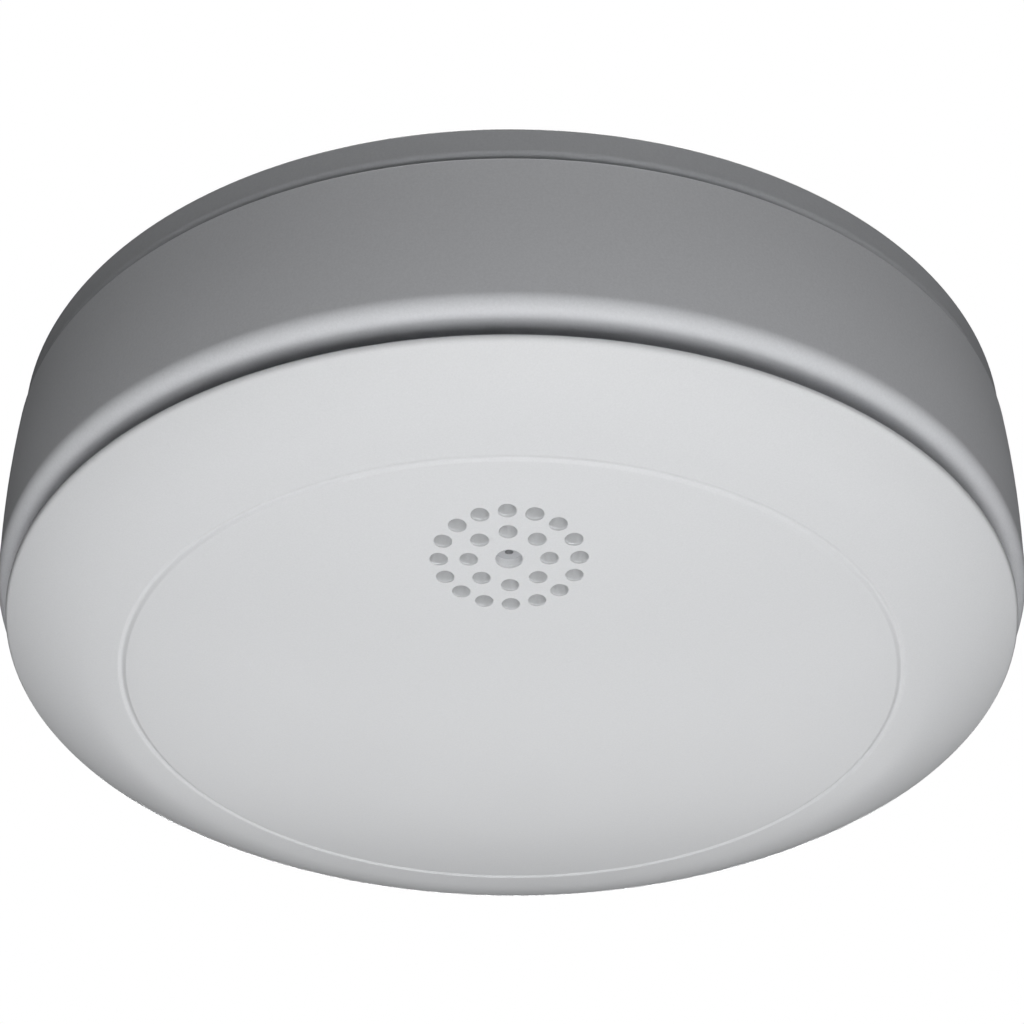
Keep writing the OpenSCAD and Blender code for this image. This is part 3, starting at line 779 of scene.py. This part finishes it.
caseSeat = backTop + back["counterbore"][1]
finishPiece("caseScrews", joined([panScrew(2.5, caseSeat, 8, spot) for spot in housing["bossSpots"]]),
            "detector", screwSteel, ("case_screws",), 45)
boardTop = 10
finishPiece("boardScrews", joined([panScrew(2.2, boardTop, 6.5, spot) for spot in housing["postSpots"]]),
            "detector", screwSteel, ("board_screws",), 45)


def roundedRectangle(x, y, halfX, halfY, radius, steps=5):
    outline = []
    for cx, cy, start in ((1, 1, 0), (-1, 1, 90), (-1, -1, 180), (1, -1, 270)):
        cornerX, cornerY = x + cx * (halfX - radius), y + cy * (halfY - radius)
        outline += arcPath(cornerX, cornerY, radius, start, start + 90, steps)
    return outline


finishPiece("ratingLabel", extruded(roundedRectangle(0, 0, 20, 12, 1.5), backTop - 0.15, backTop - 0.005),
            "detector", labelPaper, ("rating_label",))
print("back made")

# circuit board and what is soldered to it
board = {
    "radius": 46.5,
    "top": boardTop,
    "face": 11.6,
    "notch": (-28.9, 18.1),
    "screwHole": 1.2,
    "pads": [(8 + 4 * i, y) for i in range(5) for y in (-20, 32)] + [(-12 - 4 * i, 34) for i in range(3)],
    "chip": (29, -12, 9),
    "legs": (8, 0.4),
    "smd": (20, -29, 3.8, 3.6),
    "cans": ((25, 8), (25, 15)),
    "coil": (33, 12, 4, 4.8),
    "bobbin": (1.8, 0.8),
    "winding": (10, 0.31, 2.75),
    "led": (0, -9.5),
    "switch": (0, -2.5, 6, 3.5),
}


def boardMesh():
    (notchX, notchY), reach = board["notch"], board["radius"]
    above, below = board["top"] - 1, board["face"] + 1
    body = rod(reach, board["top"], board["face"], fillet=0.08, steps=160)
    notch = block(notchX - reach / 2, 0, above, reach, 2 * notchY, below)
    holes = [rod(board["screwHole"], above, below, spot, 0, 32) for spot in housing["postSpots"]]
    return carved(body, ("DIFFERENCE", [notch] + holes))


def solderJoint(x, y):
    # a small fillet of solder round a cut lead, with r and height above the board
    outline = [(0, 0.9), (0.25, 0.85), (0.35, 0.4), (0.9, 0.06), (0.95, 0.01), (0, 0.01)]
    return spun([(r, board["top"] - height) for r, height in outline], 16, (x, y))


def gullLegs(x, y, angle):
    # a row of legs: out of the chip's side, down and flat on the board
    count, wide = board["legs"]
    outline = [(4.3, 0.95), (5.0, 0.95), (5.25, 0.15), (5.7, 0.15),
               (5.7, 0.01), (5.1, 0.01), (4.85, 0.8), (4.3, 0.8)]
    legs = [radialSlab([(r, board["face"] + height) for r, height in outline], wide) for i in range(count)]
    for i, leg in enumerate(legs):
        bmesh.ops.translate(leg, verts=leg.verts[:], vec=place(0, i - (count - 1) / 2, 0))
    return joinedAt([turned(joined(legs), angle)], x, y)


finishPiece("circuitBoard", boardMesh(), "detector", boardGreen, ("circuit_board",))
finishPiece("solderJoints", joined([solderJoint(x, y) for x, y in board["pads"]]), "detector",
            solderTin)

chipX, chipY, chipSize = board["chip"]
chipBody = block(chipX, chipY, board["face"] + 0.2, chipSize, chipSize, board["face"] + 1.6, 0.2)
chipDot = rod(0.5, board["face"] + 1.5, board["face"] + 2, (chipX - 3.3, chipY - 3.3), 0, 24)
finishPiece("controllerChip", carved(chipBody, ("DIFFERENCE", [chipDot])), "detector",
            chipBlack, ("microcontroller",))
finishPiece("chipLegs", joined([gullLegs(chipX, chipY, 90 * i) for i in range(4)]), "detector",
            solderTin)

smdX, smdY, smdStepX, smdStepY = board["smd"]
smdSpots = [(smdX + smdStepX * i, smdY + smdStepY * j) for i in range(5) for j in range(3)]
face = board["face"]
smdBodies = [block(x, y, face + 0.02, 1.2, 1.1, face + 0.66, 0.05, 1) for x, y in smdSpots]
smdEnds = [block(x + side * 0.8, y, face, 0.38, 1.2, face + 0.7, 0.06, 1) for x, y in smdSpots
           for side in (-1, 1)]
finishPiece("smdParts", joined(smdBodies), "detector", ceramicTan, ("smd_parts",))
finishPiece("smdEnds", joined(smdEnds), "detector", solderTin)


def capacitorCanPath():
    # pressed can with a crimp groove near its foot and a rounded top
    top, bottom = face + 0.7, face + 6
    return roundedPath([(0, top, 0), (2.5, top, 0.2), (2.5, top + 0.5, 0), (2.3, top + 0.8, 0.1),
                        (2.5, top + 1.1, 0), (2.5, bottom, 0.4), (1.9, bottom, 0), (1.8, bottom - 0.15, 0),
                        (0, bottom - 0.15, 0)])


cans = [spun(capacitorCanPath(), 48, spot) for spot in board["cans"]]
canBases = [block(x, y, face, 5.6, 5.6, face + 0.65, 0.3) for x, y in board["cans"]]
finishPiece("capacitorCans", joined(cans), "detector", capacitorCan, ("capacitors",))
finishPiece("capacitorBases", joined(canBases), "detector", chipBlack)

coilX, coilY, coilRadius, coilHeight = board["coil"]


def bobbinPath():
    top, bottom = face + 0.02, face + coilHeight
    neck, cheek = board["bobbin"]
    return roundedPath([(0, top, 0), (coilRadius, top, 0.2), (coilRadius, top + cheek, 0.2),
                        (neck, top + cheek, 0), (neck, bottom - cheek, 0),
                        (coilRadius, bottom - cheek, 0.2), (coilRadius, bottom, 0.2), (0, bottom, 0)])


def windingPath():
    # turns of enamelled wire, seen as ridges
    turns, pitch, radius = board["winding"]
    top = face + 0.87
    ridges = []
    for i in range(turns):
        ridges += arcPath(radius, top + pitch * (i + 0.5), pitch / 2, -80, 80, 4)
    return [(1.9, top)] + ridges + [(1.9, top + turns * pitch)]


finishPiece("boostCoil", spun(bobbinPath(), 48, (coilX, coilY)), "detector", ferriteGrey,
            ("boost_coil",))
finishPiece("coilWinding", spun(windingPath(), 48, (coilX, coilY)), "detector", coilCopper)

ledX, ledY = board["led"]
ledLens = arcPath(0, face + 0.75, 0.9, 0, 90, 6)[1:-1]
ledDome = spun([(0, face + 0.5), (0.9, face + 0.5)] + ledLens + [(0, face + 1.6)], 32, (ledX, ledY))
ledBody = block(ledX, ledY, face, 3.2, 2.4, face + 0.9, 0.12)
finishPiece("statusLed", carved(ledBody, ("UNION", [ledDome])), "detector", ledRed,
            ("status_led",))

switchX, switchY, switchSize, switchHeight = board["switch"]
switchBottom = face + switchHeight
switchMesh = carved(block(switchX, switchY, face, switchSize, switchSize, switchBottom - 0.3, 0.25),
                    ("DIFFERENCE", [rod(1.76, face + 1.4, switchBottom + 1, (switchX, switchY))]))
finishPiece("testSwitch", switchMesh, "detector", switchBody, ("test_switch",))
switchPlate = carved(block(switchX, switchY, switchBottom - 0.28, 5.6, 5.6, switchBottom, 0.06, 1),
                     ("DIFFERENCE", [rod(1.9, switchBottom - 1, switchBottom + 1, (switchX, switchY))]))
finishPiece("switchPlate", switchPlate, "detector", nickelStrip)
plungerTop, plungerBottom = nodeSpan("switch_plunger")[1:]
finishPiece("switchPlunger", rod(1.7, plungerTop, plungerBottom, (switchX, switchY), 0.35), "plunger",
            plungerBlack, ("switch_plunger",))
print("board made")

# sealed cell and its welded strips
cell = {
    "x": -38,
    "depth": 16.1,
    "radius": 8.5,
    "half": 16.5,
    "crimp": 0.35,
    "nubRadius": 3.2,
    "nub": 0.8,
    "strip": (6, 0.25, 4.6),
}


def cellPath():
    # sleeve rolled over the rim, the crimped groove and the raised contact
    radius, half = cell["radius"], cell["half"]
    crimp = radius - cell["crimp"]
    return roundedPath([
        (0, -half, 0), (radius, -half, 0.8), (radius, half - 2.6, 0), (crimp, half - 2.1, 0.2),
        (crimp, half - 1.7, 0.2), (radius, half - 1.2, 0), (radius, half, 0.6),
        (radius - 1.3, half, 0), (radius - 1.4, half - 0.25, 0), (cell["nubRadius"], half - 0.25, 0),
        (cell["nubRadius"], half + cell["nub"], 0.3), (0, half + cell["nub"], 0)])


def cellStrip(side, end):
    # from the board round a bend and down over the cell's end
    wide, thick, foot = cell["strip"]
    reach = foot - (end - cell["half"])
    outline = [(end, boardTop - thick), (end + reach, boardTop - thick), (end + reach, boardTop),
               (end + thick + 0.4, boardTop), (end + thick + 0.1, boardTop + 0.1),
               (end + thick, boardTop + 0.4), (end + thick, cell["depth"] + 3), (end, cell["depth"] + 3)]
    strip = turned(radialSlab(outline, wide), 90 * side)
    return joinedAt([strip], cell["x"], 0)


finishPiece("batteryCell", along(spun(cellPath(), 72), (cell["x"], 0, cell["depth"]), "X", -90), "detector",
            cellSleeve, ("battery_cell",))
finishPiece("batteryTabs", joined([cellStrip(1, cell["half"] + 0.02), cellStrip(-1, cell["half"] + 0.02)]),
            "detector", nickelStrip, ("battery_tabs",))

# optical chamber: vaned tray, cap, woven screen, emitter and photodiode
chamber = {
    "y": 26,
    "radius": 17.5,
    "thick": 1.4,
    "capDepth": 29.2,
    "capRib": (11.8, 12.6, 1.8),
    "capDish": (5.6, 0.3),
    "vanes": 28,
    "vaneStart": 13.4,
    "vaneLength": 3.6,
    "vaneThick": 0.6,
    "vaneLean": 38,
    "opticDepth": 17,
    "opticRadius": 2.5,
    "opticStart": 5,
    "opticAngle": 60,
    "opticBlock": (8.6, 6.4, 7.2),
    "leads": (0.45, 2.54),
    "screenRadius": 17.35,
    "wireRadius": 0.06,
    "uprights": 120,
    "hoops": 30,
}
vaneTop = face + chamber["thick"]
vaneBottom = chamber["capDepth"] - chamber["thick"]


def vane(i):
    # leaning blade, thickest in the middle, so that light can't pass straight through
    long, thick = chamber["vaneLength"], chamber["vaneThick"]
    outline = [(0, 0), (long, 0), (long, thick), (long * 0.8, thick * 1.05), (long * 0.4, thick * 1.25),
               (0, thick)]
    blade = turned(extruded(outline, vaneTop - 0.05, vaneBottom - 0.02), chamber["vaneLean"])
    bmesh.ops.translate(blade, verts=blade.verts[:], vec=place(chamber["vaneStart"], -thick / 2, 0))
    return turned(blade, 360 * i / chamber["vanes"])


def opticBlock(side):
    # block with a bore that points at the middle of the chamber
    bottom = chamber["opticDepth"] + 3.8
    away, long, wide = chamber["opticBlock"]
    carrier = block(away, 0, face + 1, long, wide, bottom, 0.3)
    bore = along(rod(chamber["opticRadius"] + 0.05, -8, 8), (away, 0, chamber["opticDepth"]), "Y", 90)
    return turned(carved(carrier, ("DIFFERENCE", [bore])), 90 + chamber["opticAngle"] * side)


def chamberTray():
    radius = chamber["radius"]
    floorPath = [(0, face, 0), (radius, face, 0.3), (radius, vaneTop, 0.3), (0, vaneTop, 0)]
    tray = carved(spun(roundedPath(floorPath), 96), ("UNION", [opticBlock(side) for side in (-1, 1)]))
    return joinedAt([tray] + [vane(i) for i in range(chamber["vanes"])], 0, chamber["y"])


def chamberCapMesh():
    # a disc with a locating rib on its top side and a shallow dish in its face
    radius, bottom = chamber["radius"], chamber["capDepth"]
    ribIn, ribOut, ribHeight = chamber["capRib"]
    dish, dishDeep = chamber["capDish"]
    cap = spun(roundedPath([
        (0, vaneBottom, 0), (ribIn, vaneBottom, 0), (ribIn, vaneBottom - ribHeight, 0.15),
        (ribOut, vaneBottom - ribHeight, 0.15), (ribOut, vaneBottom, 0), (radius, vaneBottom, 0.2),
        (radius, bottom, 0.5), (dish + 0.4, bottom, 0), (dish, bottom - dishDeep, 0),
        (0, bottom - dishDeep, 0)]), 96)
    return joinedAt([cap], 0, chamber["y"])


def screenWires():
    # uprights alternately in front of and behind the hoops
    radius, wire = chamber["screenRadius"], chamber["wireRadius"]
    hoops = chamber["hoops"]
    step = (vaneBottom - vaneTop) / hoops
    parts = []
    for k in range(hoops):
        depth = vaneTop + (k + 0.5) * step
        parts.append(spun(arcPath(radius, depth, wire, 45, 315, 3), 96))
    for i in range(chamber["uprights"]):
        lean = wire * (1 if i % 2 else -1)
        post = block(radius + lean, 0, vaneTop + 0.02, wire * 1.6, wire * 1.6, vaneBottom - 0.02)
        parts.append(turned(post, 360 * i / chamber["uprights"]))
    return joinedAt(parts, 0, chamber["y"])


def opticPath():
    radius = chamber["opticRadius"]
    return [(0, 0)] + arcPath(0, radius, radius, -84, 0, 8) + roundedPath([
        (radius, 4.8, 0), (radius + 0.02, 4.8, 0), (radius + 0.02, 6, 0.2), (0, 6, 0)])


def optic(side):
    leadThick, leadSpacing = chamber["leads"]
    leads = [block(x * leadSpacing / 2, 0, 5.9, leadThick, leadThick, 6.6) for x in (-1, 1)]
    body = along(joined([spun(opticPath(), 40)] + leads), (chamber["opticStart"], 0, chamber["opticDepth"]),
                 "Y", -90)
    return joinedAt([turned(body, 90 + chamber["opticAngle"] * side)], 0, chamber["y"])


finishPiece("chamberBase", chamberTray(), "detector", chamberBlack, ("chamber_base",))
finishPiece("chamberCap", chamberCapMesh(), "detector", chamberBlack, ("chamber_cap",))
finishPiece("insectScreen", screenWires(), "detector", screenSteel, ("insect_screen",))
finishPiece("irEmitter", optic(-1), "detector", emitterLens, ("ir_emitter",))
finishPiece("receiverDiode", optic(1), "detector", diodeLens, ("photodiode",))
print("chamber made")

# horn: cup, clamped disc, lid with its mouth, and the gasket in the housing
horn = {
    "spot": (cover["grilleX"], cover["grilleY"]),
    "radius": 16,
    "split": 22,
    "top": 29.1,
    "discDepth": 20,
    "discRadius": 13.5,
    "discThick": 0.3,
    "ceramicRadius": 9,
    "ceramicThick": 0.2,
    "mouth": 8.4,
    "gasketThick": 0.9,
}


def hornPiece(name, corners, material, node):
    turning = spun(roundedPath(corners), 96, horn["spot"])
    finishPiece(name, turning, "detector", material, (node,))


radius, split, disc, discRadius, mouth, top = (horn[key] for key in (
    "radius", "split", "discDepth", "discRadius", "mouth", "top"))
discBack, ceramicBack = disc + horn["discThick"], disc + horn["discThick"] + horn["ceramicThick"]
hornPiece("hornCup", [
    (0, face, 0), (radius, face, 0.5), (radius, split, 0.3), (discRadius + 0.4, split, 0.2),
    (discRadius + 0.4, disc, 0), (12.6, disc, 0.15), (12.6, face + 1.2, 0.8), (0, face + 1.2, 0)],
    hornGrey, "horn_cup")
hornPiece("piezoDisc", [
    (0, disc, 0), (discRadius, disc, 0.05), (discRadius, discBack, 0.05), (0, discBack, 0)],
    piezoBrass, "piezo_disc")
hornPiece("piezoCeramic", [
    (0, discBack, 0), (horn["ceramicRadius"], discBack, 0), (horn["ceramicRadius"], ceramicBack, 0.05),
    (0, ceramicBack, 0)],
    ceramicGrey, "piezo_ceramic")
hornPiece("hornLid", [
    (discRadius, disc + 0.4, 0), (discRadius, split + 0.05, 0), (radius, split + 0.05, 0.2),
    (radius, top - 3, 0.8), (radius - 3, top, 0.8), (mouth, top, 0.3), (mouth, top - 1.2, 0.3),
    (radius - 3.6, top - 1.2, 0.5), (radius - 3.6, disc + 0.4, 0)],
    hornGrey, "horn_lid")
gasketIn, gasketOut, gasketTop = radius + 0.1, radius + 2.2, floorTop - horn["gasketThick"]
hornPiece("hornGasket", [
    (gasketIn, gasketTop, 0.3), (gasketOut, gasketTop, 0.3),
    (gasketOut, floorTop, 0), (gasketIn, floorTop, 0)],
    gasketRubber, "horn_gasket")
print("horn made")

# light pipe: foot over the light, bar across the horn, tip in the middle hole
pipe = {
    "tipRadius": 1.42,
    "recess": 0.9,
    "dimple": (0.45, 1.0),
    "barTop": 30.7,
    "barThick": 1.3,
    "barWide": 2.2,
    "footRadius": 1.2,
    "footTop": 15.4,
}
barBottom = pipe["barTop"] + pipe["barThick"]
tipDepth = faceDepth(-cover["grilleY"]) - pipe["recess"]
barLong = ledY - cover["grilleY"]
barMiddle = (ledY + cover["grilleY"]) / 2
tipSpot = (cover["grilleX"], cover["grilleY"])
pipeBar = block(0, barMiddle, pipe["barTop"], pipe["barWide"], barLong, barBottom, 0.25, 3)
pipeTip = rod(pipe["tipRadius"], pipe["barTop"] + 0.1, tipDepth, tipSpot, 0.06)
pipeFoot = rod(pipe["footRadius"], pipe["footTop"], barBottom - 0.1, (0, ledY), 0.2)
dimpleRadius, dimpleDeep = pipe["dimple"]
pipeDimple = rod(dimpleRadius, tipDepth - dimpleDeep, tipDepth + 1, tipSpot, 0, 32)
pipeMesh = carved(pipeBar, ("UNION", [pipeTip, pipeFoot]), ("DIFFERENCE", [pipeDimple]))
finishPiece("lightPipe", pipeMesh, "cover", pipeClear, ("light_pipe",))

# return springs: coils of round wire with capped ends
spring = {
    "radius": 2.3,
    "wire": 0.3,
    "top": 20.85,
    "bottom": 28.95,
    "turns": 5,
    "stepsPerTurn": 20,
    "travel": 0.6,
}


def coil(spot):
    bm = bmesh.new()
    bmesh.ops.create_circle(bm, segments=8, radius=spring["wire"] * mm, cap_ends=False)
    turned(bm, 90, "X")
    bmesh.ops.translate(bm, verts=bm.verts[:], vec=place(spring["radius"], 0, spring["top"]))
    steps = spring["turns"] * spring["stepsPerTurn"]
    rise = (spring["bottom"] - spring["top"]) / steps
    bmesh.ops.spin(bm, geom=bm.edges[:], cent=(0, 0, 0), axis=(0, 0, 1), dvec=place(0, 0, rise),
                   angle=fullTurn * spring["turns"], steps=steps, use_merge=False)
    bmesh.ops.holes_fill(bm, edges=[edge for edge in bm.edges if edge.is_boundary], sides=0)
    bmesh.ops.recalc_face_normals(bm, faces=bm.faces[:])
    return joinedAt([bm], *spot)


springs = finishPiece("coverSprings", joined([coil(spot) for spot in fixings["springSpots"]]), "detector",
                      springSteel, ("cover_springs",), 60)
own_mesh(springs)
print("light pipe and springs made")

# studio
studio = {
    "floorDrop": 0.6,
    "floorGlow": 0.62,
    "ambient": 0.01,
    "lens": 89.08,
    "sensor": 36,
    "cameraReach": 0.2935,
    "cameraBelow": 31.479,
    "cameraLift": 4.681,
    "cameraRoll": 0.0026,
}


def softLight(name, spot, aim, size, watts, colour=(1, 1, 1)):
    data = bpy.data.lights.new(name, "AREA")
    data.shape = "RECTANGLE"
    data.size, data.size_y = size
    data.energy = watts
    data.color = colour
    lamp = bpy.data.objects.new(name, data)
    bpy.context.collection.objects.link(lamp)
    lamp.location = spot
    lamp.rotation_euler = (Vector(aim) - Vector(spot)).to_track_quat("-Z", "Y").to_euler()
    return lamp


keyLow = softLight("keyLow", (0, -0.17, -0.38), (0, 0, -0.02), (0.3, 0.3), 1.18)
keyLow.visible_glossy = False
softLight("frontFill", (0, -0.9, -0.15), (0, 0, -0.02), (0.6, 0.4), 0.5)
softLight("farGloss", (0, 0.8, -0.5), (0, 0, -0.02), (0.7, 0.5), 0.95)
softLight("sideLeft", (-0.8, -0.3, -0.4), (0, 0, -0.02), (0.5, 0.4), 0.27)
softLight("sideRight", (0.8, -0.3, -0.4), (0, 0, -0.02), (0.5, 0.4), 1.2)
softLight("rimLeft", (-0.30, 0.02, -0.80), (0, 0, -0.02), (0.16, 0.1), 1.1, (1, 0.94, 0.87))
softLight("rimRight", (0.36, 0.02, -0.80), (0, 0, -0.02), (0.16, 0.1), 0.8, (1, 0.94, 0.87))
softLight("overhead", (0, 0, 0.5), (0, 0, 0), (0.35, 0.35), 2.6)
softLight("behind", (0, 0.6, 0.35), (0, 0, -0.02), (0.4, 0.3), 3.2)

world = bpy.data.worlds.new("studio")
bpy.context.scene.world = world
world.use_nodes = True
sky = world.node_tree.nodes["Background"]
sky.inputs["Color"].default_value = (1, 1, 1, 1)
path = world.node_tree.nodes.new("ShaderNodeLightPath")
seen = world.node_tree.nodes.new("ShaderNodeMapRange")
seen.inputs["To Min"].default_value = studio["ambient"]
seen.inputs["To Max"].default_value = 1.0
world.node_tree.links.new(path.outputs["Is Camera Ray"], seen.inputs["Value"])
world.node_tree.links.new(seen.outputs["Result"], sky.inputs["Strength"])

floorMesh = bmesh.new()
bmesh.ops.create_grid(floorMesh, x_segments=1, y_segments=1, size=4)
bmesh.ops.translate(floorMesh, verts=floorMesh.verts[:], vec=(0, 0, -studio["floorDrop"]))
floor = meshObject("floor", floorMesh)
floorPale = newMaterial("floorPale", (0.35, 0.35, 0.35), 0.7, Emission_Color=(1, 1, 1, 1))
floorTree = floorPale.node_tree
floorPath = floorTree.nodes.new("ShaderNodeLightPath")
floorGlow = floorTree.nodes.new("ShaderNodeMath")
floorGlow.operation = "MULTIPLY"
floorGlow.inputs[1].default_value = studio["floorGlow"]
floorTree.links.new(floorPath.outputs["Is Camera Ray"], floorGlow.inputs[0])
floorShader = floorTree.nodes["Principled BSDF"]
floorTree.links.new(floorGlow.outputs["Value"], floorShader.inputs["Emission Strength"])
floor.data.materials.append(floorPale)

cameraData = bpy.data.cameras.new("camera")
cameraData.sensor_width = studio["sensor"]
cameraData.lens = studio["lens"]
camera = bpy.data.objects.new("camera", cameraData)
bpy.context.collection.objects.link(camera)
below = math.radians(studio["cameraBelow"])
apex = place(0, 0, coverApex)
camera.location = apex + Vector((0, -math.cos(below), -math.sin(below))) * studio["cameraReach"]
tilt = math.radians(90 + studio["cameraBelow"] + studio["cameraLift"])
facing = Matrix.Rotation(tilt, 4, "X") @ Matrix.Rotation(studio["cameraRoll"], 4, "Z")
camera.rotation_euler = facing.to_euler()
bpy.context.scene.camera = camera
bpy.context.scene.view_settings.view_transform = "Standard"

print("scene ready")
